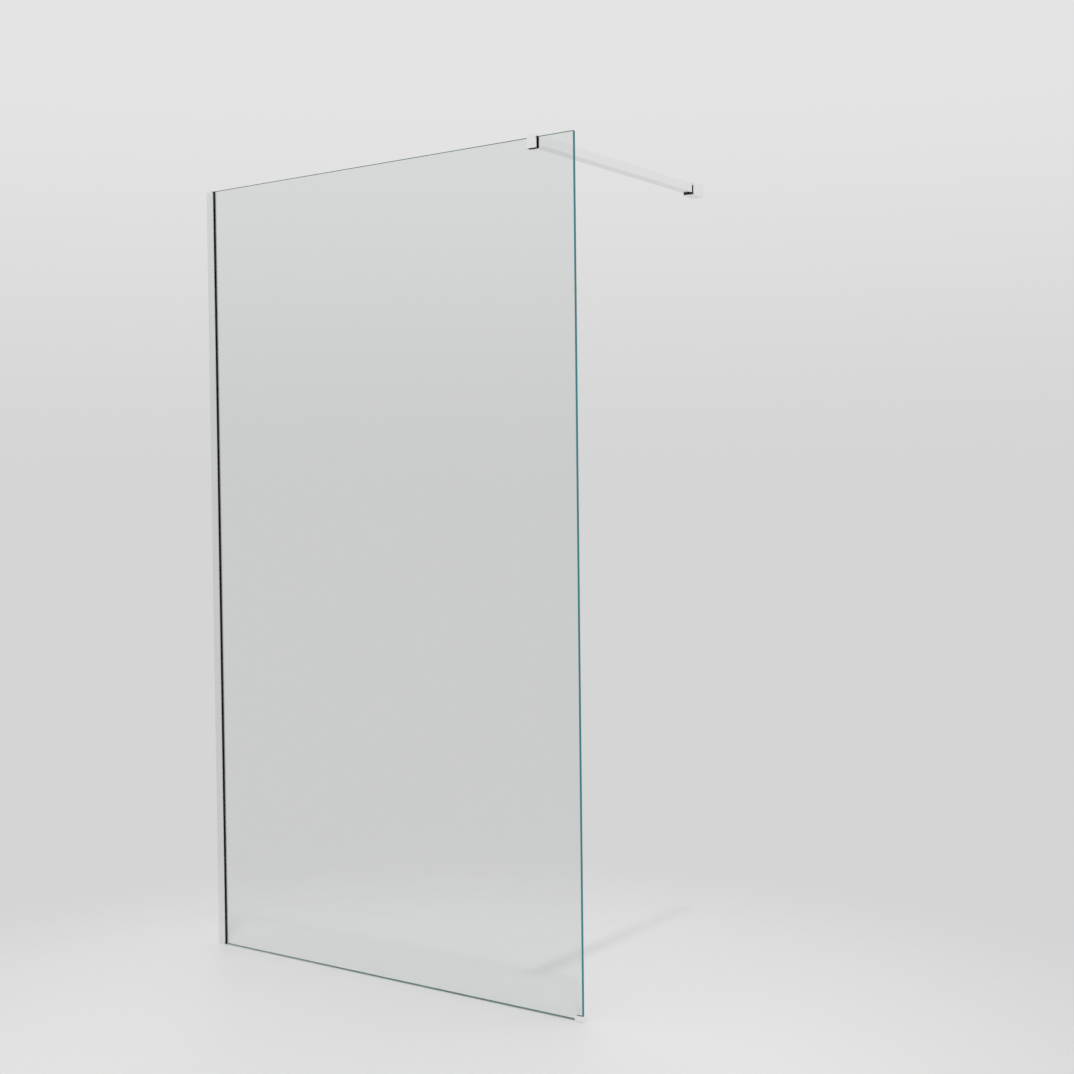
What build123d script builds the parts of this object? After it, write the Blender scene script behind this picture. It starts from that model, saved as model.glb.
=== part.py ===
from build123d import *
import os

# Walk-in shower screen: a glass panel held in a wall profile, steadied at its
# top by a square bar that reaches the wall behind it, and by a shoe at its foot.
# Lengths are in millimetres. The origin is on the wall face at floor level, on
# the middle plane of the glass. +X runs along the glass away from that wall,
# +Y towards the wall that the bar reaches, and +Z is up.

# Overall
PANEL_TOP = 2000.0          # top of the glass above the floor
PANEL_REACH = 1161.0        # free edge of the glass from the wall
ARM_REACH = 758.0           # wall behind, from the middle of the glass

# Glass
GLASS_THICKNESS = 8.0
GLASS_ARRIS = 0.6           # ground flat on every edge

# Wall profile: an outer channel on the wall and a glazing channel inside it
PROFILE_DEPTH = 21.0
PROFILE_WALL = 1.5
GLAZING_WALL = 1.2
CHANNEL_SIDE_GAP = 0.3      # running clearance between the two channels
CHANNEL_WEB_GAP = 0.5       # left behind the glazing channel when it is fully in
CORNER_ROUND = 0.4
GASKET_THICKNESS = 2.25
GASKET_DEPTH = 8.0
GASKET_GROOVE = 0.7         # depth and half the width of the grooves between its ribs
GASKET_GROOVES = 2
EDGE_BLOCK_DEPTH = 6.8      # room behind the glass edge, where the nuts sit
EDGE_BLOCK_LENGTH = 60.0
BLOCK_SIDE_GAP = 0.25
SETTING_BLOCK_LENGTH = 10.5

# Holes in the wall channel for the screws into the wall
WALL_HOLE_RADIUS = 2.6
WALL_HOLE_PITCH = 600.0
WALL_HOLE_COUNT = 4
HEAD_RELIEF_RADIUS = 5.5    # opening in the glazing channel over each screw head

# Adjusting screws through the shower side of the profile
ADJUST_TRAVEL = 9.0
ADJUST_PITCH = 750.0
ADJUST_COUNT = 3
SCREW_RADIUS = 2.0
SCREW_LENGTH = 8.0
SCREW_HEAD_RADIUS = 3.5
SCREW_HEAD_HEIGHT = 2.4
SCREW_HEAD_ROUND = 0.8
SCREW_SOCKET = 1.25         # half the width across the flats of the key
HOLE_GAP = 0.25             # around a screw in a plain hole
THREAD_GAP = 0.05           # around a screw in its thread
WASHER_RADIUS = 4.0
WASHER_THICKNESS = 0.8
NUT_WIDTH = 5.6
NUT_HEIGHT = 14.0
NUT_THICKNESS = 3.0
NUT_WEB_GAP = 0.2
COVER_WALL = 0.9
COVER_ROOM = 0.3            # around the washer, over its whole travel
COVER_HEAD_ROOM = 0.5
COVER_ROUND = 0.6

# Top cap, clipped over the wall channel
CAP_THICKNESS = 1.2
CAP_SKIRT = 7.0
CAP_SKIRT_WALL = 0.8
CAP_CLEARANCE = 0.3         # over the glass and the glazing channel
CAP_ROUND = 0.3

# Glass clamp and support bar
BAR_SIDE = 25.0
BAR_WALL = 1.5
BAR_CORNER = 1.5
ARM_FROM_EDGE = 110.0       # middle of the bar from the free edge of the glass
PAD_THICKNESS = 2.0
PAD_OVER_GLASS = 1.0
PAD_BELOW_JAW = 0.5
PAD_BESIDE_JAW = 0.6
CLAMP_BRIDGE = 5.0
CLAMP_GRIP = 25.5
CLAMP_ROUND = 0.5
FRONT_JAW = 4.5
REAR_JAW = 10.0
BAR_BELOW_BRIDGE = 0.5      # top of the bar below the top of the clamp
PLATE_THICKNESS = 1.5
PLATE_MARGIN = 2.0
PLATE_GAP = 0.05
GRUB_RADIUS = 2.0
GRUB_SPACING = 13.0
GRUB_LENGTH = 8.0
GRUB_SOCKET = 1.0
JOINING_RADIUS = 2.5
JOINING_HEAD_RADIUS = 4.7
JOINING_LENGTH = 22.0
JOINING_SOCKET = 1.5
PLUG_DEPTH = 18.0
PLUG_GAP = 0.05
END_CAP_FLANGE = 2.0
END_CAP_INSET = 0.3
END_CAP_SPIGOT = 10.0

# Wall bracket: a sleeve over the far end of the bar
BRACKET_LENGTH = 49.5
BAR_SIDE_PLAY = 0.2         # the lock screw lifts the bar, so most of the play is under it
BAR_TOP_PLAY = 0.2
BAR_FLOOR_PLAY = 0.5
SADDLE_SIDE = 1.8
SADDLE_FLOOR = 3.6
SADDLE_DROP = 5.5           # top of the saddle below the top of the bar
SLEEVE_SIDE = 2.5
SLEEVE_FLOOR = 2.0
SLEEVE_TOP = 1.7
SLEEVE_ROUND = 0.5
BASE_THICKNESS = 7.0
BASE_GAP = 0.1
BASE_HOLE_RADIUS = 2.5
BASE_HOLE_SPACING = 14.0
BASE_HEAD_RADIUS = 4.5
BASE_HEAD_DEPTH = 3.5
BAR_END_GAP = 7.0           # free depth behind the end of the bar
SADDLE_BASE_GAP = 1.0
LOCK_FROM_MOUTH = 14.0
LOCK_TIP_GAP = 0.2
BASE_GRUB_DEPTH = 3.5       # how far the sleeve's screw reaches into the base

# Corner shoe under the free edge
FOOT_LENGTH = 20.0
FOOT_HEIGHT = 12.0
FOOT_JAW = 4.0
FOOT_END_WALL = 1.5
FOOT_END_PAD = 1.0
FOOT_BASE_PAD = 0.5
FOOT_FLOOR = 0.9
FOOT_LINER_FLOOR = 0.6
FOOT_ROUND = 0.6
FOOT_PAD_INSET = 1.0
FOOT_GRUB_LENGTH = 3.8

# Places that follow from the sizes above
glass_half = GLASS_THICKNESS / 2
glazing_inner = glass_half + GASKET_THICKNESS
glazing_outer = glazing_inner + GLAZING_WALL
profile_inner = glazing_outer + CHANNEL_SIDE_GAP
profile_outer = profile_inner + PROFILE_WALL
glazing_back = PROFILE_WALL + CHANNEL_WEB_GAP
glazing_web = glazing_back + GLAZING_WALL
glass_left = glazing_web + EDGE_BLOCK_DEPTH
glass_bottom = FOOT_BASE_PAD + FOOT_FLOOR + FOOT_LINER_FLOOR

adjust_x = glazing_web + NUT_WEB_GAP + NUT_WIDTH / 2
cover_radius = WASHER_RADIUS + COVER_ROOM
washer_back = profile_outer + WASHER_THICKNESS
cover_depth = WASHER_THICKNESS + SCREW_HEAD_HEIGHT + COVER_HEAD_ROOM

arm_x = PANEL_REACH - ARM_FROM_EDGE
bar_half = BAR_SIDE / 2
slot_half = glass_half + PAD_THICKNESS
slot_top = PANEL_TOP + PAD_OVER_GLASS
clamp_top = slot_top + CLAMP_BRIDGE
clamp_bottom = PANEL_TOP - CLAMP_GRIP
clamp_rear = slot_half + REAR_JAW
bar_top = clamp_top - BAR_BELOW_BRIDGE
bar_bottom = bar_top - BAR_SIDE
bar_middle = bar_top - bar_half
grub_height = (clamp_bottom + bar_bottom) / 2
plate_back = slot_half + PLATE_THICKNESS

sleeve_front = ARM_REACH - BRACKET_LENGTH
base_front = ARM_REACH - BASE_THICKNESS
bar_end = base_front - BAR_END_GAP - END_CAP_FLANGE
saddle_half = bar_half + BAR_SIDE_PLAY
pocket_half = saddle_half + SADDLE_SIDE
pocket_floor = bar_bottom - BAR_FLOOR_PLAY - SADDLE_FLOOR
saddle_top = bar_top - SADDLE_DROP
sleeve_bottom = pocket_floor - SLEEVE_FLOOR
pocket_top = bar_top + BAR_TOP_PLAY
base_middle = (pocket_floor + saddle_top) / 2
base_grub_y = (base_front + ARM_REACH) / 2

foot_right = PANEL_REACH + FOOT_END_PAD + FOOT_END_WALL
foot_left = foot_right - FOOT_LENGTH
foot_half = slot_half + FOOT_JAW


def span_centres(count, pitch):
    """Heights of evenly pitched places, centred on the height of the panel."""
    first = PANEL_TOP / 2 - pitch * (count - 1) / 2
    return [first + pitch * step for step in range(count)]


wall_hole_heights = span_centres(WALL_HOLE_COUNT, WALL_HOLE_PITCH)
adjust_heights = span_centres(ADJUST_COUNT, ADJUST_PITCH)
edge_block_heights = span_centres(ADJUST_COUNT - 1, ADJUST_PITCH)


def block(x_span, y_span, z_span):
    """A plain box between two places along each axis."""
    spans = (x_span, y_span, z_span)
    sizes = [high - low for low, high in spans]
    middle = [(high + low) / 2 for low, high in spans]
    return Pos(*middle) * Box(*sizes)


def rod(radius, start, direction, length):
    """A round bar from a start point along a direction."""
    axis = Plane(origin=start, z_dir=direction)
    return axis * Cylinder(radius, length, align=(Align.CENTER, Align.CENTER, Align.MIN))


def cone(wide, narrow, start, direction, length):
    """A taper from the wide radius at its start to the narrow one."""
    axis = Plane(origin=start, z_dir=direction)
    return axis * Cone(wide, narrow, length, align=(Align.CENTER, Align.CENTER, Align.MIN))


def key_socket(half_width, start, direction, depth):
    """The six-sided hole that takes a key."""
    outline = RegularPolygon(half_width, 6, major_radius=False)
    return extrude(Plane(origin=start, z_dir=direction) * outline, depth)


def rounded(shape, radius, *axes):
    """The shape with its edges along the given axes rounded."""
    edges = [edge for axis in axes for edge in shape.edges().filter_by(axis)]
    return fillet(edges, radius)


def group(shapes):
    """Separate solids kept together as one piece of the list."""
    return Compound(children=list(shapes))


def set_screw(radius, start, direction, length, socket):
    """A headless screw: key socket at its start, chamfered point at its end."""
    direction = Vector(*direction)
    start = Vector(*start)
    point = radius / 3
    body = rod(radius, start, direction, length - point)
    body += cone(radius, radius - point, start + direction * (length - point), direction, point)
    return body - key_socket(socket, start, direction, radius)


# Wall profile


def upright_channel(x_back, x_mouth, half_width, wall):
    """A channel of full height whose mouth faces away from the wall."""
    body = block((x_back, x_mouth), (-half_width, half_width), (0, PANEL_TOP))
    body -= block((x_back + wall, x_mouth), (wall - half_width, half_width - wall), (0, PANEL_TOP))
    outer = [
        edge
        for edge in body.edges().filter_by(Axis.Z)
        if edge.center().X > x_mouth - wall / 2 and abs(edge.center().Y) > half_width - wall / 2
    ]
    return fillet(outer, min(CORNER_ROUND, wall / 3))


def wall_channel():
    """Outer channel, with wall screw holes and slots for the adjusting screws."""
    body = upright_channel(0, PROFILE_DEPTH, profile_outer, PROFILE_WALL)
    for height in wall_hole_heights:
        body -= rod(WALL_HOLE_RADIUS, (0, 0, height), (1, 0, 0), PROFILE_WALL)
    slot = SlotCenterToCenter(ADJUST_TRAVEL, 2 * (SCREW_RADIUS + HOLE_GAP))
    for height in adjust_heights:
        centre = (adjust_x + ADJUST_TRAVEL / 2, profile_outer, height)
        body -= extrude(Plane(origin=centre, x_dir=(1, 0, 0), z_dir=(0, -1, 0)) * slot, PROFILE_WALL)
    return body


def glazing_channel():
    """Inner channel, open over the wall screws and drilled for the adjusting screws."""
    body = upright_channel(glazing_back, PROFILE_DEPTH, glazing_outer, GLAZING_WALL)
    for height in wall_hole_heights:
        body -= rod(HEAD_RELIEF_RADIUS, (glazing_back, 0, height), (1, 0, 0), GLAZING_WALL)
    for height in adjust_heights:
        start = (adjust_x, glazing_inner, height)
        body -= rod(SCREW_RADIUS + HOLE_GAP, start, (0, 1, 0), GLAZING_WALL)
    return body


def gasket(side):
    """Ribbed rubber strip between the glass and one flange; side is -1 in front, 1 behind."""
    body = block((PROFILE_DEPTH - GASKET_DEPTH, PROFILE_DEPTH), (glass_half, glazing_inner), (0, PANEL_TOP))
    pitch = GASKET_DEPTH / (GASKET_GROOVES + 1)
    for step in range(GASKET_GROOVES):
        middle = PROFILE_DEPTH - pitch * (step + 1)
        body -= block(
            (middle - GASKET_GROOVE, middle + GASKET_GROOVE),
            (glazing_inner - GASKET_GROOVE, glazing_inner),
            (0, PANEL_TOP),
        )
    return body if side > 0 else mirror(body, Plane.XZ)


def edge_blocks():
    """Plastic blocks that keep the glass edge off the web of the channel."""
    half = glazing_inner - BLOCK_SIDE_GAP
    return group(
        block(
            (glazing_web, glass_left),
            (-half, half),
            (height - EDGE_BLOCK_LENGTH / 2, height + EDGE_BLOCK_LENGTH / 2),
        )
        for height in edge_block_heights
    )


def setting_block():
    """Plastic block under the glass, inside the bottom of the channel."""
    half = glass_half
    return block((glass_left, glass_left + SETTING_BLOCK_LENGTH), (-half, half), (0, glass_bottom))


def profile_top_cap():
    """Clip-on cap; it stands on the wall channel and clears what slides below it."""
    half = profile_outer + CAP_SKIRT_WALL
    top = PANEL_TOP + CAP_THICKNESS
    body = block((0, PROFILE_DEPTH), (-half, half), (PANEL_TOP - CAP_SKIRT, top))
    upper = [edge for edge in body.edges() if edge.center().Z > top - CAP_ROUND and edge.center().X > 0]
    body = fillet(upper, CAP_ROUND)
    body -= block((0, PROFILE_DEPTH), (-profile_outer, profile_outer), (PANEL_TOP - CAP_SKIRT, PANEL_TOP))
    room = profile_inner - CHANNEL_SIDE_GAP / 2
    body -= block((PROFILE_WALL, PROFILE_DEPTH), (-room, room), (PANEL_TOP, PANEL_TOP + CAP_CLEARANCE))
    return body


def adjusting_screws():
    """Pan head screws that lock the glazing channel in the wall channel."""
    screws = []
    for height in adjust_heights:
        seat = (adjust_x, washer_back, height)
        head_top = (adjust_x, washer_back + SCREW_HEAD_HEIGHT, height)
        head = rod(SCREW_HEAD_RADIUS, seat, (0, 1, 0), SCREW_HEAD_HEIGHT)
        rim = head.edges().sort_by(Axis.Y)[-1]
        head = fillet(rim, SCREW_HEAD_ROUND)
        screw = head + rod(SCREW_RADIUS, seat, (0, -1, 0), SCREW_LENGTH)
        screws.append(screw - key_socket(SCREW_SOCKET, head_top, (0, -1, 0), SCREW_HEAD_HEIGHT / 2))
    return group(screws)


def adjusting_washers():
    """Washers that bridge the slots under the screw heads."""
    washers = []
    for height in adjust_heights:
        start = (adjust_x, profile_outer, height)
        ring = rod(WASHER_RADIUS, start, (0, 1, 0), WASHER_THICKNESS)
        washers.append(ring - rod(SCREW_RADIUS + HOLE_GAP, start, (0, 1, 0), WASHER_THICKNESS))
    return group(washers)


def clamp_nuts():
    """Threaded plates inside the glazing channel, drawn up by the screws."""
    nuts = []
    for height in adjust_heights:
        nut = block(
            (adjust_x - NUT_WIDTH / 2, adjust_x + NUT_WIDTH / 2),
            (glazing_inner - NUT_THICKNESS, glazing_inner),
            (height - NUT_HEIGHT / 2, height + NUT_HEIGHT / 2),
        )
        start = (adjust_x, glazing_inner, height)
        nuts.append(nut - rod(SCREW_RADIUS + THREAD_GAP, start, (0, -1, 0), NUT_THICKNESS))
    return group(nuts)


def screw_covers():
    """Oblong clip-on covers over the slots, hollow for the whole travel of the heads."""
    outer = SlotCenterToCenter(ADJUST_TRAVEL, 2 * (cover_radius + COVER_WALL))
    inner = SlotCenterToCenter(ADJUST_TRAVEL, 2 * cover_radius)
    covers = []
    for height in adjust_heights:
        seat = Plane(
            origin=(adjust_x + ADJUST_TRAVEL / 2, profile_outer, height),
            x_dir=(1, 0, 0),
            z_dir=(0, 1, 0),
        )
        shell = extrude(seat * outer, cover_depth + COVER_WALL)
        rim = shell.edges().group_by(Axis.Y)[-1]
        shell = fillet(rim, min(COVER_ROUND, COVER_WALL * 0.8))
        covers.append(shell - extrude(seat * inner, cover_depth))
    return group(covers)


# Glass


def glass_panel():
    """Toughened glass, every edge ground to a small flat."""
    body = block((glass_left, PANEL_REACH), (-glass_half, glass_half), (glass_bottom, PANEL_TOP))
    return chamfer(body.edges(), GLASS_ARRIS)


# Glass clamp and support bar


def clamp_body():
    """Block over the top edge of the glass, its thick rear jaw carrying the bar."""
    x_span = (arm_x - bar_half, arm_x + bar_half)
    body = block(x_span, (-slot_half - FRONT_JAW, clamp_rear), (clamp_bottom, clamp_top))
    body = fillet(body.edges(), CLAMP_ROUND)
    body -= block(x_span, (-slot_half, slot_half), (clamp_bottom, slot_top))
    x_recess, z_recess = plate_spans(0)
    body -= block(x_recess, (slot_half, plate_back), z_recess)
    for x in grub_places():
        start = (x, plate_back, grub_height)
        body -= rod(GRUB_RADIUS + THREAD_GAP, start, (0, 1, 0), clamp_rear - plate_back)
    seat = (arm_x, plate_back, bar_middle)
    taper = JOINING_HEAD_RADIUS - JOINING_RADIUS
    body -= rod(JOINING_RADIUS + HOLE_GAP, seat, (0, 1, 0), clamp_rear - plate_back)
    return body - cone(JOINING_HEAD_RADIUS + HOLE_GAP, JOINING_RADIUS + HOLE_GAP, seat, (0, 1, 0), taper)


def plate_spans(gap):
    """Width and height of the pressure plate's recess, drawn in by a gap all round."""
    inset = PLATE_MARGIN + gap
    return (
        (arm_x - bar_half + inset, arm_x + bar_half - inset),
        (clamp_bottom + inset, PANEL_TOP - inset),
    )


def grub_places():
    """Places along X of the pair of clamping screws."""
    return (arm_x - GRUB_SPACING / 2, arm_x + GRUB_SPACING / 2)


def clamp_liner():
    """Rubber saddle between the glass and the clamp; it shows below and beside the jaws."""
    half = bar_half + PAD_BESIDE_JAW
    x_span = (arm_x - half, arm_x + half)
    bottom = clamp_bottom - PAD_BELOW_JAW
    body = block(x_span, (-slot_half, slot_half), (bottom, slot_top))
    return body - block(x_span, (-glass_half, glass_half), (bottom, PANEL_TOP))


def clamp_plate():
    """Steel plate that spreads the push of the screws over the liner."""
    x_span, z_span = plate_spans(PLATE_GAP)
    return block(x_span, (slot_half, plate_back), z_span)


def clamp_grub_screws():
    """Pair of headless screws below the bar, turned from the shower side."""
    end = plate_back + GRUB_LENGTH
    return group(
        set_screw(GRUB_RADIUS, (x, end, grub_height), (0, -1, 0), GRUB_LENGTH, GRUB_SOCKET)
        for x in grub_places()
    )


def bar_joining_screw():
    """Countersunk screw from inside the clamp into the plug of the bar."""
    start = (arm_x, plate_back, bar_middle)
    taper = JOINING_HEAD_RADIUS - JOINING_RADIUS
    body = cone(JOINING_HEAD_RADIUS, JOINING_RADIUS, start, (0, 1, 0), taper)
    body += rod(JOINING_RADIUS, (arm_x, plate_back + taper, bar_middle), (0, 1, 0), JOINING_LENGTH - taper)
    return body - key_socket(JOINING_SOCKET, start, (0, 1, 0), taper)


def bar_plane(y):
    """A drawing plane across the bar at a place along it."""
    return Plane(origin=(arm_x, y, bar_middle), x_dir=(1, 0, 0), z_dir=(0, 1, 0))


def support_bar():
    """Square tube from the clamp to inside the wall bracket."""
    outer = RectangleRounded(BAR_SIDE, BAR_SIDE, BAR_CORNER)
    bore = Rectangle(BAR_SIDE - 2 * BAR_WALL, BAR_SIDE - 2 * BAR_WALL)
    return extrude(bar_plane(clamp_rear) * (outer - bore), bar_end - clamp_rear)


def bar_front_plug():
    """Tapped plug in the clamp end of the bar."""
    side = BAR_SIDE - 2 * (BAR_WALL + PLUG_GAP)
    body = extrude(bar_plane(clamp_rear) * Rectangle(side, side), PLUG_DEPTH)
    return body - rod(JOINING_RADIUS + THREAD_GAP, (arm_x, clamp_rear, bar_middle), (0, 1, 0), PLUG_DEPTH)


def bar_end_cap():
    """Plastic cap in the far end of the bar."""
    side = BAR_SIDE - 2 * END_CAP_INSET
    spigot = BAR_SIDE - 2 * (BAR_WALL + PLUG_GAP)
    flange = extrude(bar_plane(bar_end) * RectangleRounded(side, side, BAR_CORNER), END_CAP_FLANGE)
    return flange + extrude(bar_plane(bar_end - END_CAP_SPIGOT) * Rectangle(spigot, spigot), END_CAP_SPIGOT)


# Wall bracket


def bracket_sleeve():
    """Sleeve on the wall; its pocket is stepped to hold the saddle down."""
    half = pocket_half + SLEEVE_SIDE
    y_span = (sleeve_front, ARM_REACH)
    body = block((arm_x - half, arm_x + half), y_span, (sleeve_bottom, pocket_top + SLEEVE_TOP))
    body = rounded(body, SLEEVE_ROUND, Axis.Y)
    body -= block((arm_x - pocket_half, arm_x + pocket_half), y_span, (pocket_floor, saddle_top))
    body -= block((arm_x - saddle_half, arm_x + saddle_half), y_span, (saddle_top, pocket_top))
    for y in (base_grub_y, sleeve_front + LOCK_FROM_MOUTH):
        body -= rod(GRUB_RADIUS + THREAD_GAP, (arm_x, y, sleeve_bottom), (0, 0, 1), SLEEVE_FLOOR)
    return body


def bracket_saddle():
    """Black nylon saddle that the bar lies in."""
    y_span = (sleeve_front, base_front - SADDLE_BASE_GAP)
    body = block((arm_x - pocket_half, arm_x + pocket_half), y_span, (pocket_floor, saddle_top))
    body -= block((arm_x - saddle_half, arm_x + saddle_half), y_span, (pocket_floor + SADDLE_FLOOR, saddle_top))
    start = (arm_x, sleeve_front + LOCK_FROM_MOUTH, pocket_floor)
    return body - rod(GRUB_RADIUS + HOLE_GAP, start, (0, 0, 1), SADDLE_FLOOR)


def bracket_base():
    """Block screwed to the wall first; the sleeve is pushed over it and locked."""
    half = pocket_half - BASE_GAP
    y_span = (base_front, ARM_REACH)
    body = block((arm_x - half, arm_x + half), y_span, (pocket_floor + BASE_GAP, saddle_top - BASE_GAP))
    for x in (arm_x - BASE_HOLE_SPACING / 2, arm_x + BASE_HOLE_SPACING / 2):
        body -= rod(BASE_HOLE_RADIUS, (x, base_front, base_middle), (0, 1, 0), BASE_THICKNESS)
        body -= rod(BASE_HEAD_RADIUS, (x, base_front, base_middle), (0, 1, 0), BASE_HEAD_DEPTH)
    start = (arm_x, base_grub_y, pocket_floor)
    return body - rod(GRUB_RADIUS + THREAD_GAP, start, (0, 0, 1), BASE_GRUB_DEPTH)


def sleeve_grub_screw():
    """Headless screw from below that locks the sleeve on its base."""
    length = SLEEVE_FLOOR + BASE_GRUB_DEPTH
    return set_screw(GRUB_RADIUS, (arm_x, base_grub_y, sleeve_bottom), (0, 0, 1), length, GRUB_SOCKET)


def bar_lock_screw():
    """Headless screw from below that locks the bar in the sleeve."""
    start = (arm_x, sleeve_front + LOCK_FROM_MOUTH, sleeve_bottom)
    length = bar_bottom - LOCK_TIP_GAP - sleeve_bottom
    return set_screw(GRUB_RADIUS, start, (0, 0, 1), length, GRUB_SOCKET)


# Corner shoe


def corner_shoe():
    """Metal shoe under the free bottom corner of the glass."""
    x_span = (foot_left, foot_right)
    body = block(x_span, (-foot_half, foot_half), (FOOT_BASE_PAD, FOOT_HEIGHT))
    body = rounded(body, FOOT_ROUND, Axis.Z)
    floor = FOOT_BASE_PAD + FOOT_FLOOR
    body -= block((foot_left, foot_right - FOOT_END_WALL), (-slot_half, slot_half), (floor, FOOT_HEIGHT))
    return body - rod(GRUB_RADIUS + THREAD_GAP, foot_grub_start(), (0, -1, 0), FOOT_JAW)


def foot_grub_start():
    """Where the shoe's screw enters its rear jaw."""
    x = (foot_left + PANEL_REACH) / 2
    z = (glass_bottom + FOOT_HEIGHT) / 2
    return (x, foot_half, z)


def foot_liner():
    """Clear soft lining of the shoe, under, beside and at the end of the glass."""
    x_span = (foot_left, PANEL_REACH + FOOT_END_PAD)
    body = block(x_span, (-slot_half, slot_half), (FOOT_BASE_PAD + FOOT_FLOOR, FOOT_HEIGHT))
    return body - block((foot_left, PANEL_REACH), (-glass_half, glass_half), (glass_bottom, FOOT_HEIGHT))


def foot_grub_screw():
    """Headless screw that grips the glass in the shoe."""
    start = Vector(*foot_grub_start()) + Vector(0, FOOT_GRUB_LENGTH - FOOT_JAW, 0)
    return set_screw(GRUB_RADIUS, tuple(start), (0, -1, 0), FOOT_GRUB_LENGTH, GRUB_SOCKET)


def foot_base_pad():
    """Rubber pad that the shoe stands on."""
    return block(
        (foot_left + FOOT_PAD_INSET, foot_right - FOOT_PAD_INSET),
        (FOOT_PAD_INSET - foot_half, foot_half - FOOT_PAD_INSET),
        (0, FOOT_BASE_PAD),
    )


pieces = {
    "wall_channel": wall_channel(),
    "profile_top_cap": profile_top_cap(),
    "screw_covers": screw_covers(),
    "glazing_channel": glazing_channel(),
    "front_gasket": gasket(-1),
    "rear_gasket": gasket(1),
    "edge_blocks": edge_blocks(),
    "setting_block": setting_block(),
    "adjusting_screws": adjusting_screws(),
    "adjusting_washers": adjusting_washers(),
    "clamp_nuts": clamp_nuts(),
    "glass_panel": glass_panel(),
    "corner_shoe": corner_shoe(),
    "foot_liner": foot_liner(),
    "foot_grub_screw": foot_grub_screw(),
    "foot_base_pad": foot_base_pad(),
    "clamp_body": clamp_body(),
    "clamp_liner": clamp_liner(),
    "clamp_plate": clamp_plate(),
    "clamp_grub_screws": clamp_grub_screws(),
    "bar_joining_screw": bar_joining_screw(),
    "bar_front_plug": bar_front_plug(),
    "support_bar": support_bar(),
    "bar_end_cap": bar_end_cap(),
    "bracket_sleeve": bracket_sleeve(),
    "bracket_saddle": bracket_saddle(),
    "bracket_base": bracket_base(),
    "sleeve_grub_screw": sleeve_grub_screw(),
    "bar_lock_screw": bar_lock_screw(),
}

os.makedirs("parts", exist_ok=True)
for name, shape in pieces.items():
    export_step(shape, f"parts/{name}.step")
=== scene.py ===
"""Walk-in shower screen: the finishes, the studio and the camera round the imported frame.

The frame holds every solid at its real size, in metres, with its origin on the
wall face at floor level, on the middle plane of the glass. +X runs along the
glass, +Y towards the wall that the bar reaches, and +Z is up.
"""

import logging
import math
from dataclasses import dataclass
from enum import Enum

import bmesh
import bpy
from mathutils import Matrix, Vector


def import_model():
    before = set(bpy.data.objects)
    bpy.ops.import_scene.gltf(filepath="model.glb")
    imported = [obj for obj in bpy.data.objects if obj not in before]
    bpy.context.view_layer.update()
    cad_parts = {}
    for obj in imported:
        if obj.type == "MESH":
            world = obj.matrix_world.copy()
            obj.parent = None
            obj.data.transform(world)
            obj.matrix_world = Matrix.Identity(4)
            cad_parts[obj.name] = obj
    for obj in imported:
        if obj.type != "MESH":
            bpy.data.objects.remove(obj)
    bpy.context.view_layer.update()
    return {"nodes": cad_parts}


LOG = logging.getLogger("shower_screen")
MM = 0.001
GLASS_IOR = 1.52

Socket = bpy.types.NodeSocket
Tree = bpy.types.NodeTree
Value = float | tuple[float, ...] | Socket


def linear(code: str) -> tuple[float, float, float, float]:
    """Turns an sRGB hex colour into a linear one.

    Args:
        code: six hex digits, with or without a leading hash.

    Returns:
        Red, green, blue and an alpha of 1.
    """
    digits = code.lstrip("#")
    parts = [int(digits[i:i + 2], 16) / 255 for i in (0, 2, 4)]
    red, green, blue = (p / 12.92 if p <= 0.04045 else ((p + 0.055) / 1.055) ** 2.4 for p in parts)
    return red, green, blue, 1.0


def per_metre(size_mm: float) -> float:
    """Gives a texture scale whose features are about this many millimetres wide."""
    return 1.0 / (size_mm * MM)


def add_node(
    tree: Tree,
    kind: str,
    inputs: dict[int | str, Value] | None = None,
    **settings: str,
) -> bpy.types.Node:
    """Adds one node with its settings, its values and its links.

    Args:
        tree: the node tree that gets the node.
        kind: the node's type name.
        inputs: input name or number, with a value for it or the socket that feeds it.
        settings: the node's own options, such as operation="MULTIPLY".

    Returns:
        The new node.
    """
    node = tree.nodes.new(kind)
    for name, value in settings.items():
        setattr(node, name, value)
    for name, value in (inputs or {}).items():
        if isinstance(value, Socket):
            tree.links.new(value, node.inputs[name])
        else:
            node.inputs[name].default_value = value
    return node


def new_material(name: str) -> bpy.types.Material:
    """Makes an empty node material with only its output.

    Args:
        name: what the material is called.

    Returns:
        The material.
    """
    material = bpy.data.materials.new(name)
    material.use_nodes = True
    material.node_tree.nodes.clear()
    add_node(material.node_tree, "ShaderNodeOutputMaterial")
    return material


def close_with(material: bpy.types.Material, shader: Socket) -> bpy.types.Material:
    """Joins a shader to the output of a material.

    Args:
        material: a material that has its output already.
        shader: the socket that the output shows.

    Returns:
        The same material.
    """
    output = material.node_tree.nodes["Material Output"]
    material.node_tree.links.new(shader, output.inputs["Surface"])
    return material


def place_coordinates(tree: Tree, sizes_mm: tuple[float, float, float]) -> Socket:
    """Gives coordinates in which one unit is the given size along each axis.

    Args:
        tree: the node tree to work in.
        sizes_mm: the size of the pattern along X, Y and Z.

    Returns:
        The socket with the coordinates.
    """
    place = add_node(tree, "ShaderNodeTexCoord")
    scale = tuple(per_metre(size) for size in sizes_mm)
    mapping = add_node(tree, "ShaderNodeMapping", {"Vector": place.outputs["Object"], "Scale": scale})
    return mapping.outputs["Vector"]


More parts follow.
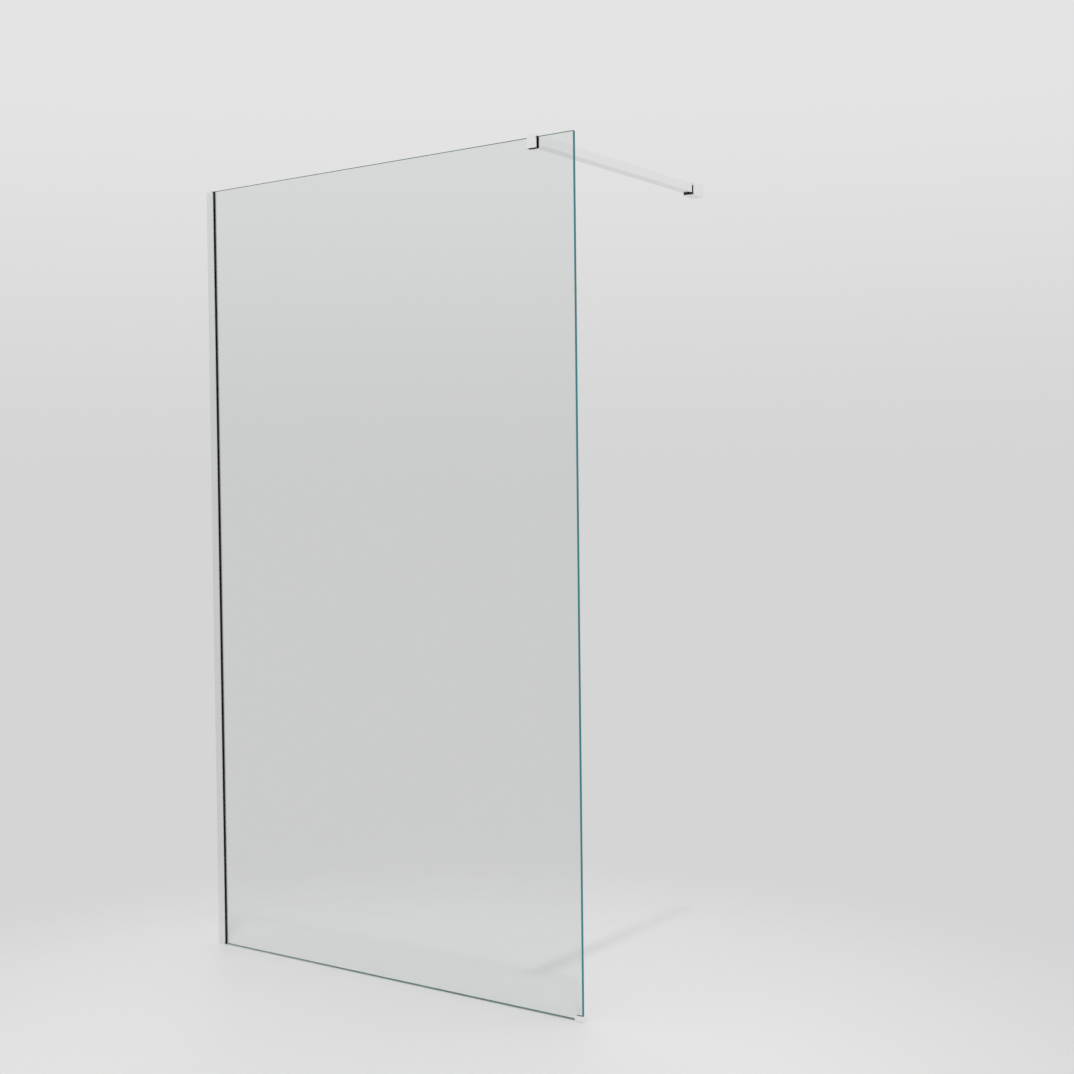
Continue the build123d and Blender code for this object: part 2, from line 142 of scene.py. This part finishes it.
@dataclass(frozen=True)
class Finish:
    """A solid surface whose colour and roughness drift over it, with a fine relief.

    The colours are sRGB hex values, and the sizes are real ones in millimetres.
    The roughness runs from smooth to rough between the two levels of the drift,
    where most of its values lie.
    """

    name: str
    light: str
    dark: str
    smooth: float
    rough: float
    patch_mm: tuple[float, float, float]
    grain_mm: tuple[float, float, float]
    relief_mm: float
    metallic: float = 1.0
    specular: float = 0.5
    patch_detail: float = 3.0
    grain_detail: float = 2.0
    drift_levels: tuple[float, float] = (0.3, 0.7)

    def material(self) -> bpy.types.Material:
        """Builds the material of this finish.

        Returns:
            The material, with its colour, roughness and relief.
        """
        material = new_material(self.name)
        tree = material.node_tree
        patches = add_node(
            tree,
            "ShaderNodeTexNoise",
            {
                "Vector": place_coordinates(tree, self.patch_mm),
                "Scale": 1.0,
                "Detail": self.patch_detail,
            },
        )
        grain = add_node(
            tree,
            "ShaderNodeTexNoise",
            {
                "Vector": place_coordinates(tree, self.grain_mm),
                "Scale": 1.0,
                "Detail": self.grain_detail,
            },
        )
        colour = add_node(
            tree,
            "ShaderNodeMix",
            {0: patches.outputs["Fac"], 6: linear(self.dark), 7: linear(self.light)},
            data_type="RGBA",
        )
        roughness = add_node(
            tree,
            "ShaderNodeMapRange",
            {
                "Value": patches.outputs["Fac"],
                "From Min": self.drift_levels[0],
                "From Max": self.drift_levels[1],
                "To Min": self.smooth,
                "To Max": self.rough,
            },
        )
        relief = add_node(
            tree,
            "ShaderNodeBump",
            {"Height": grain.outputs["Fac"], "Distance": self.relief_mm * MM, "Strength": 1.0},
        )
        shader = add_node(
            tree,
            "ShaderNodeBsdfPrincipled",
            {
                "Base Color": colour.outputs[2],
                "Metallic": self.metallic,
                "Roughness": roughness.outputs["Result"],
                "Specular IOR Level": self.specular,
                "Normal": relief.outputs["Normal"],
            },
        )
        return close_with(material, shader.outputs["BSDF"])


@dataclass(frozen=True)
class ClearFloatGlass:
    """Toughened soda-lime float glass, as it looks through its two large faces.

    The wave is the long, shallow roll that toughening leaves in the sheet.
    """

    name: str = "toughened_float_glass"
    tint: str = "F2F3F3"
    shadow_tint: str = "F9FBFA"
    wave_mm: float = 300.0
    wave_depth_mm: float = 0.002

    def material(self) -> bpy.types.Material:
        """Builds the material: clear and bending light, but letting the lamp reach the floor.

        Returns:
            The material of the large faces.
        """
        material = new_material(self.name)
        tree = material.node_tree
        wave = add_node(
            tree,
            "ShaderNodeTexNoise",
            {"Vector": place_coordinates(tree, (self.wave_mm,) * 3), "Scale": 1.0, "Detail": 0.0},
        )
        roll = add_node(
            tree,
            "ShaderNodeBump",
            {"Height": wave.outputs["Fac"], "Distance": self.wave_depth_mm * MM, "Strength": 1.0},
        )
        glass = add_node(
            tree,
            "ShaderNodeBsdfPrincipled",
            {
                "Base Color": linear(self.tint),
                "Roughness": 0.0,
                "IOR": GLASS_IOR,
                "Transmission Weight": 1.0,
                "Normal": roll.outputs["Normal"],
            },
        )
        passing = add_node(tree, "ShaderNodeBsdfTransparent", {"Color": linear(self.shadow_tint)})
        path = add_node(tree, "ShaderNodeLightPath")
        mixed = add_node(
            tree,
            "ShaderNodeMixShader",
            {0: path.outputs["Is Shadow Ray"], 1: glass.outputs["BSDF"], 2: passing.outputs["BSDF"]},
        )
        return close_with(material, mixed.outputs["Shader"])


@dataclass(frozen=True)
class GlassEdge:
    """The edge of a sheet of glass, where the eye looks into its whole width of green.

    The streaks are the marks that the grinding wheel leaves along the edge.
    """

    name: str
    light: str
    dark: str
    smooth: float
    rough: float
    streak_mm: tuple[float, float, float]
    relief_mm: float
    streak_detail: float = 4.0

    def material(self) -> bpy.types.Material:
        """Builds the material of this edge.

        Returns:
            The material, streaked along the edge in colour, gloss and relief.
        """
        material = new_material(self.name)
        tree = material.node_tree
        streaks = add_node(
            tree,
            "ShaderNodeTexNoise",
            {
                "Vector": place_coordinates(tree, self.streak_mm),
                "Scale": 1.0,
                "Detail": self.streak_detail,
            },
        )
        colour = add_node(
            tree,
            "ShaderNodeMix",
            {0: streaks.outputs["Fac"], 6: linear(self.dark), 7: linear(self.light)},
            data_type="RGBA",
        )
        roughness = add_node(
            tree,
            "ShaderNodeMapRange",
            {"Value": streaks.outputs["Fac"], "To Min": self.smooth, "To Max": self.rough},
        )
        relief = add_node(
            tree,
            "ShaderNodeBump",
            {"Height": streaks.outputs["Fac"], "Distance": self.relief_mm * MM, "Strength": 1.0},
        )
        shader = add_node(
            tree,
            "ShaderNodeBsdfPrincipled",
            {
                "Base Color": colour.outputs[2],
                "Roughness": roughness.outputs["Result"],
                "IOR": GLASS_IOR,
                "Normal": relief.outputs["Normal"],
            },
        )
        return close_with(material, shader.outputs["BSDF"])


class Surface(Enum):
    """Every finish on the object."""

    # Nickel and chrome plate on polished brass or zinc: a pale mirror with a trace of haze
    CHROME = Finish(
        name="nickel_chrome_plate",
        light="FDFDFD",
        dark="F7F7F7",
        smooth=0.04,
        rough=0.08,
        patch_mm=(40, 40, 40),
        grain_mm=(6, 6, 6),
        relief_mm=0.0008,
    )
    # Bright-dipped and anodised extrusion: a softer mirror, drawn out along the die lines
    POLISHED_ALUMINIUM = Finish(
        name="bright_anodised_aluminium",
        light="F2F3F3",
        dark="E9EBEC",
        smooth=0.09,
        rough=0.15,
        patch_mm=(4, 4, 300),
        grain_mm=(1.2, 1.2, 400),
        relief_mm=0.002,
    )
    # Sawn and drilled aluminium as it leaves the mill: grey, with marks of the tool
    MILL_ALUMINIUM = Finish(
        name="machined_aluminium",
        light="C9CBCE",
        dark="B4B7BA",
        smooth=0.32,
        rough=0.45,
        patch_mm=(8, 8, 8),
        grain_mm=(0.8, 6, 0.8),
        relief_mm=0.008,
    )
    # Turned stainless steel, pickled: satin and a little warm
    STAINLESS_STEEL = Finish(
        name="turned_stainless_steel",
        light="C8C7C3",
        dark="B4B3B0",
        smooth=0.24,
        rough=0.34,
        patch_mm=(5, 5, 5),
        grain_mm=(0.4, 0.4, 0.4),
        relief_mm=0.004,
    )
    # Chrome on moulded ABS: a mirror that rolls a little more than the metal's
    PLATED_PLASTIC = Finish(
        name="chrome_plated_abs",
        light="FAFAFA",
        dark="F3F3F3",
        smooth=0.05,
        rough=0.1,
        patch_mm=(25, 25, 25),
        grain_mm=(9, 9, 9),
        relief_mm=0.003,
    )
    # Moulded glass-filled nylon: a soft black with a dull, fine spark grain
    BLACK_NYLON = Finish(
        name="moulded_black_nylon",
        light="363637",
        dark="2A2A2B",
        smooth=0.45,
        rough=0.58,
        patch_mm=(3, 3, 3),
        grain_mm=(0.35, 0.35, 0.35),
        relief_mm=0.01,
        metallic=0.0,
        specular=0.35,
    )
    # Extruded EPDM rubber: deep black, matt, with a faint bloom
    BLACK_RUBBER = Finish(
        name="extruded_epdm_rubber",
        light="121213",
        dark="0B0B0C",
        smooth=0.6,
        rough=0.78,
        patch_mm=(6, 6, 30),
        grain_mm=(0.3, 0.3, 2.0),
        relief_mm=0.01,
        metallic=0.0,
        specular=0.22,
    )
    # Soft clear vinyl, moulded: pale and a little cloudy, as it is seen in a narrow slot
    CLEAR_VINYL = Finish(
        name="moulded_clear_vinyl",
        light="D6D9D8",
        dark="C8CCCB",
        smooth=0.28,
        rough=0.42,
        patch_mm=(5, 5, 5),
        grain_mm=(0.8, 0.8, 0.8),
        relief_mm=0.01,
        metallic=0.0,
        specular=0.5,
    )
    # Toughened float glass: clear, with only a breath of green through the sheet
    CLEAR_GLASS = ClearFloatGlass()
    # Upright edge, ground and polished: the deep blue-green of the whole width of the sheet
    UPRIGHT_EDGE = GlassEdge(
        name="polished_upright_edge",
        light="14888E",
        dark="0C767C",
        smooth=0.12,
        rough=0.24,
        streak_mm=(1.5, 1.5, 45),
        relief_mm=0.004,
    )
    # Its arris, ground only: the same colour under a pale, silky bloom
    UPRIGHT_ARRIS = GlassEdge(
        name="ground_upright_arris",
        light="3E9A9C",
        dark="2C888B",
        smooth=0.36,
        rough=0.5,
        streak_mm=(0.8, 0.8, 12),
        relief_mm=0.008,
    )
    # Level edges, ground and polished: painted shade, the upright edge's finish made a darker, truer
    # green for how the floor and sky light them
    LEVEL_EDGE = GlassEdge(
        name="polished_level_edge_painted_shade",
        light="2C8A7C",
        dark="20796C",
        smooth=0.12,
        rough=0.24,
        streak_mm=(45, 1.5, 1.5),
        relief_mm=0.004,
    )
    # Their arris, ground only: painted shade, a thin dark green line round the top and foot of the
    # sheet
    LEVEL_ARRIS = GlassEdge(
        name="ground_level_arris_painted_shade",
        light="0E6656",
        dark="0A5648",
        smooth=0.36,
        rough=0.5,
        streak_mm=(12, 0.8, 0.8),
        relief_mm=0.008,
    )


class Palette:
    """Builds each finish once and hands it out."""

    def __init__(self) -> None:
        """Starts with nothing built."""
        self._built: dict[Surface, bpy.types.Material] = {}

    def of(self, surface: Surface) -> bpy.types.Material:
        """Gives the material of a finish, and builds it the first time.

        Args:
            surface: the finish that is wanted.

        Returns:
            Its material.
        """
        if surface not in self._built:
            self._built[surface] = surface.value.material()
        return self._built[surface]


@dataclass
class SubAssembly:
    """Solids of the frame that belong together and are dressed together."""

    nodes: dict[str, bpy.types.Object]
    palette: Palette

    def finishes(self) -> dict[str, Surface]:
        """Tells the finish of each solid that has the same one all over."""
        return {}

    def dress(self) -> None:
        """Gives each of these solids its finish and says so."""
        for name, surface in self.finishes().items():
            material = self.palette.of(surface)
            mesh = self.nodes[name].data
            mesh.materials.clear()
            mesh.materials.append(material)
            LOG.info("%s: %s", name, material.name)


@dataclass
class WallProfile(SubAssembly):
    """The two channels on the wall, with their seals, blocks and adjusting screws."""

    def finishes(self) -> dict[str, Surface]:
        """Tells the finish of every piece of the profile."""
        return {
            "wall_channel": Surface.POLISHED_ALUMINIUM,
            "glazing_channel": Surface.POLISHED_ALUMINIUM,
            "profile_top_cap": Surface.PLATED_PLASTIC,
            "screw_covers": Surface.PLATED_PLASTIC,
            "front_gasket": Surface.BLACK_RUBBER,
            "rear_gasket": Surface.BLACK_RUBBER,
            "edge_blocks": Surface.BLACK_NYLON,
            "setting_block": Surface.BLACK_NYLON,
            "adjusting_screws": Surface.STAINLESS_STEEL,
            "adjusting_washers": Surface.STAINLESS_STEEL,
            "clamp_nuts": Surface.STAINLESS_STEEL,
        }


@dataclass
class GlassPanel(SubAssembly):
    """The sheet of glass, clear on its faces and green along its edges, with painted shade on its
    level edges.

    A face of the sheet is told by how squarely it faces along an axis.
    """

    face_cosine: float = 0.98
    flat_cosine: float = 0.95

    def dress(self) -> None:
        """Gives the faces, the edge flats and the arrises their own finishes."""
        mesh = self.nodes["glass_panel"].data
        mesh.materials.clear()
        surfaces = (
            Surface.CLEAR_GLASS,
            Surface.UPRIGHT_EDGE,
            Surface.LEVEL_EDGE,
            Surface.UPRIGHT_ARRIS,
            Surface.LEVEL_ARRIS,
        )
        for surface in surfaces:
            mesh.materials.append(self.palette.of(surface))
        for polygon in mesh.polygons:
            polygon.material_index = surfaces.index(self.surface_at(polygon.normal))
        LOG.info("glass_panel: clear faces, polished edges and ground arrises")

    def surface_at(self, normal: Vector) -> Surface:
        """Tells which finish a face of the sheet has by the way it faces; level edges get the finishes
        with painted shade.

        Args:
            normal: the outward direction of the face.

        Returns:
            The finish of that face.
        """
        across, along, up = abs(normal.y), abs(normal.x), abs(normal.z)
        if across > self.face_cosine:
            return Surface.CLEAR_GLASS
        if max(along, up) > self.flat_cosine:
            return Surface.UPRIGHT_EDGE if along > up else Surface.LEVEL_EDGE
        return Surface.UPRIGHT_ARRIS if along > up else Surface.LEVEL_ARRIS


@dataclass
class SupportArm(SubAssembly):
    """The clamp on the top edge of the glass and the square bar that it carries."""

    def finishes(self) -> dict[str, Surface]:
        """Tells the finish of the clamp, its lining and screws, and the bar."""
        return {
            "clamp_body": Surface.CHROME,
            "clamp_liner": Surface.BLACK_RUBBER,
            "clamp_plate": Surface.STAINLESS_STEEL,
            "clamp_grub_screws": Surface.STAINLESS_STEEL,
            "bar_joining_screw": Surface.STAINLESS_STEEL,
            "bar_front_plug": Surface.MILL_ALUMINIUM,
            "support_bar": Surface.CHROME,
            "bar_end_cap": Surface.BLACK_NYLON,
        }


@dataclass
class WallBracket(SubAssembly):
    """The sleeve over the far end of the bar, its saddle and its base."""

    def finishes(self) -> dict[str, Surface]:
        """Tells the finish of the sleeve, the saddle, the base and their screws."""
        return {
            "bracket_sleeve": Surface.CHROME,
            "bracket_saddle": Surface.BLACK_NYLON,
            "bracket_base": Surface.MILL_ALUMINIUM,
            "sleeve_grub_screw": Surface.STAINLESS_STEEL,
            "bar_lock_screw": Surface.STAINLESS_STEEL,
        }


@dataclass
class CornerShoe(SubAssembly):
    """The small metal shoe under the free corner of the glass."""

    def finishes(self) -> dict[str, Surface]:
        """Tells the finish of the shoe, its lining, its screw and its pad."""
        return {
            "corner_shoe": Surface.CHROME,
            "foot_liner": Surface.CLEAR_VINYL,
            "foot_grub_screw": Surface.STAINLESS_STEEL,
            "foot_base_pad": Surface.BLACK_RUBBER,
        }


@dataclass
class Studio:
    """Floor, sky, key lamp and camera. None of them is part of the object.

    The floor is a painted pool of light: brightest a little in front of the free edge,
    at its centre, and fading out between two distances from there into the darker
    horizon colour of the sky. The sky has its horizon colour at and below eye level,
    its upper colour from low_sky_end to high_sky_start, and its zenith colour from
    high_sky_end up; these are heights on a unit sphere.
    """

    floor_colour: str = "DEDEDE"
    floor_shade: str = "DBDBDB"
    floor_centre: tuple[float, float, float] = (1.05, -0.5, 0.0)
    floor_radius: float = 2.2
    floor_segments: int = 96
    fade_from: float = 0.6
    fade_to: float = 2.0
    floor_roughness: float = 0.42
    floor_specular: float = 0.3
    mottle_mm: float = 900.0
    mottle_detail: float = 2.0
    horizon: str = "D5D5D5"
    upper_sky: str = "E4E4E4"
    zenith: str = "EEEEEE"
    low_sky_end: float = 0.27
    high_sky_start: float = 0.3
    high_sky_end: float = 0.95
    key_share: float = 0.28
    key_angle_deg: float = 2.0
    key_slope: tuple[float, float] = (0.093, -0.12)
    lens_mm: float = 52.759
    sensor_mm: float = 36.0
    clip_near: float = 0.05
    clip_far: float = 100.0
    eye: tuple[float, float, float] = (3.1090, -2.9394, 1.1876)
    yaw_deg: float = 35.0377
    pitch_deg: float = -1.4946
    roll_deg: float = -0.6461

    def build(self) -> None:
        """Builds everything round the object."""
        self.build_camera()
        self.build_floor()
        self.build_sky()
        self.build_key()
        bpy.context.scene.view_settings.view_transform = "Standard"
        LOG.info("studio: camera, floor, sky and key lamp")

    def build_camera(self) -> None:
        """Stands the camera where the photograph was taken from."""
        data = bpy.data.cameras.new("photo_camera")
        data.lens = self.lens_mm
        data.sensor_width = self.sensor_mm
        data.clip_start = self.clip_near
        data.clip_end = self.clip_far
        camera = bpy.data.objects.new("photo_camera", data)
        turn = Matrix.Rotation(math.radians(self.yaw_deg), 4, "Z")
        tilt = Matrix.Rotation(math.radians(90 + self.pitch_deg), 4, "X")
        roll = Matrix.Rotation(math.radians(self.roll_deg), 4, "Z")
        camera.matrix_world = Matrix.Translation(Vector(self.eye)) @ turn @ tilt @ roll
        bpy.context.scene.collection.objects.link(camera)
        bpy.context.scene.camera = camera

    def build_floor(self) -> None:
        """Lays a round pale floor, a painted pool of light that fades out into the sky colour."""
        mesh = bpy.data.meshes.new("studio_floor")
        shape = bmesh.new()
        bmesh.ops.create_circle(
            shape, cap_ends=True, segments=self.floor_segments, radius=self.floor_radius
        )
        bmesh.ops.translate(shape, verts=shape.verts, vec=self.floor_centre)
        shape.to_mesh(mesh)
        shape.free()
        floor = bpy.data.objects.new("studio_floor", mesh)
        bpy.context.scene.collection.objects.link(floor)
        mesh.materials.append(self.floor_material())

    def floor_material(self) -> bpy.types.Material:
        """Makes a pale sealed floor with the faintest gloss, clear at its rim.

        Returns:
            The material of the floor.
        """
        material = new_material("pale_sealed_floor")
        tree = material.node_tree
        mottle = add_node(
            tree,
            "ShaderNodeTexNoise",
            {
                "Vector": place_coordinates(tree, (self.mottle_mm,) * 3),
                "Scale": 1.0,
                "Detail": self.mottle_detail,
            },
        )
        colour = add_node(
            tree,
            "ShaderNodeMix",
            {0: mottle.outputs["Fac"], 6: linear(self.floor_shade), 7: linear(self.floor_colour)},
            data_type="RGBA",
        )
        surface = add_node(
            tree,
            "ShaderNodeBsdfPrincipled",
            {
                "Base Color": colour.outputs[2],
                "Roughness": self.floor_roughness,
                "Specular IOR Level": self.floor_specular,
            },
        )
        place = add_node(tree, "ShaderNodeTexCoord")
        reach = add_node(
            tree,
            "ShaderNodeVectorMath",
            {0: place.outputs["Object"], 1: self.floor_centre},
            operation="DISTANCE",
        )
        # painted pool of light: the floor turns clear away from its centre and shows the darker
        # horizon colour
        fade = add_node(
            tree,
            "ShaderNodeMapRange",
            {"Value": reach.outputs["Value"], "From Min": self.fade_from, "From Max": self.fade_to},
            interpolation_type="SMOOTHSTEP",
        )
        clear = add_node(tree, "ShaderNodeBsdfTransparent")
        mixed = add_node(
            tree,
            "ShaderNodeMixShader",
            {0: fade.outputs["Result"], 1: surface.outputs["BSDF"], 2: clear.outputs["BSDF"]},
        )
        return close_with(material, mixed.outputs["Shader"])

    def build_sky(self) -> None:
        """Surrounds the scene with pale light that rises a little towards the zenith."""
        world = bpy.data.worlds.new("pale_surround")
        bpy.context.scene.world = world
        world.use_nodes = True
        tree = world.node_tree
        tree.nodes.clear()
        place = add_node(tree, "ShaderNodeTexCoord")
        height = add_node(tree, "ShaderNodeSeparateXYZ", {0: place.outputs["Generated"]})
        low = add_node(
            tree,
            "ShaderNodeMapRange",
            {"Value": height.outputs["Z"], "From Min": 0.0, "From Max": self.low_sky_end},
            interpolation_type="SMOOTHSTEP",
        )
        high = add_node(
            tree,
            "ShaderNodeMapRange",
            {
                "Value": height.outputs["Z"],
                "From Min": self.high_sky_start,
                "From Max": self.high_sky_end,
            },
            interpolation_type="SMOOTHSTEP",
        )
        lower = add_node(
            tree,
            "ShaderNodeMix",
            {0: low.outputs["Result"], 6: linear(self.horizon), 7: linear(self.upper_sky)},
            data_type="RGBA",
        )
        upper = add_node(
            tree,
            "ShaderNodeMix",
            {0: high.outputs["Result"], 6: lower.outputs[2], 7: linear(self.zenith)},
            data_type="RGBA",
        )
        surround = add_node(tree, "ShaderNodeBackground", {"Color": upper.outputs[2], "Strength": 1.0})
        add_node(tree, "ShaderNodeOutputWorld", {"Surface": surround.outputs["Background"]})

    def build_key(self) -> None:
        """Hangs the key lamp above, a little in front and beyond the free edge."""
        data = bpy.data.lights.new("key_lamp", "SUN")
        data.energy = math.pi * self.key_share
        data.angle = math.radians(self.key_angle_deg)
        lamp = bpy.data.objects.new("key_lamp", data)
        towards = Vector((self.key_slope[0], self.key_slope[1], 1.0))
        lamp.rotation_mode = "QUATERNION"
        lamp.rotation_quaternion = towards.to_track_quat("Z", "Y")
        bpy.context.scene.collection.objects.link(lamp)


def main() -> None:
    """Loads the frame, dresses each sub-assembly and builds the studio."""
    logging.basicConfig(level=logging.INFO, format="%(name)s %(message)s")
    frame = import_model()
    nodes = frame["nodes"]
    palette = Palette()
    for assembly in (
        WallProfile(nodes, palette),
        GlassPanel(nodes, palette),
        SupportArm(nodes, palette),
        WallBracket(nodes, palette),
        CornerShoe(nodes, palette),
    ):
        assembly.dress()
    Studio().build()


if __name__ == "__main__":
    main()
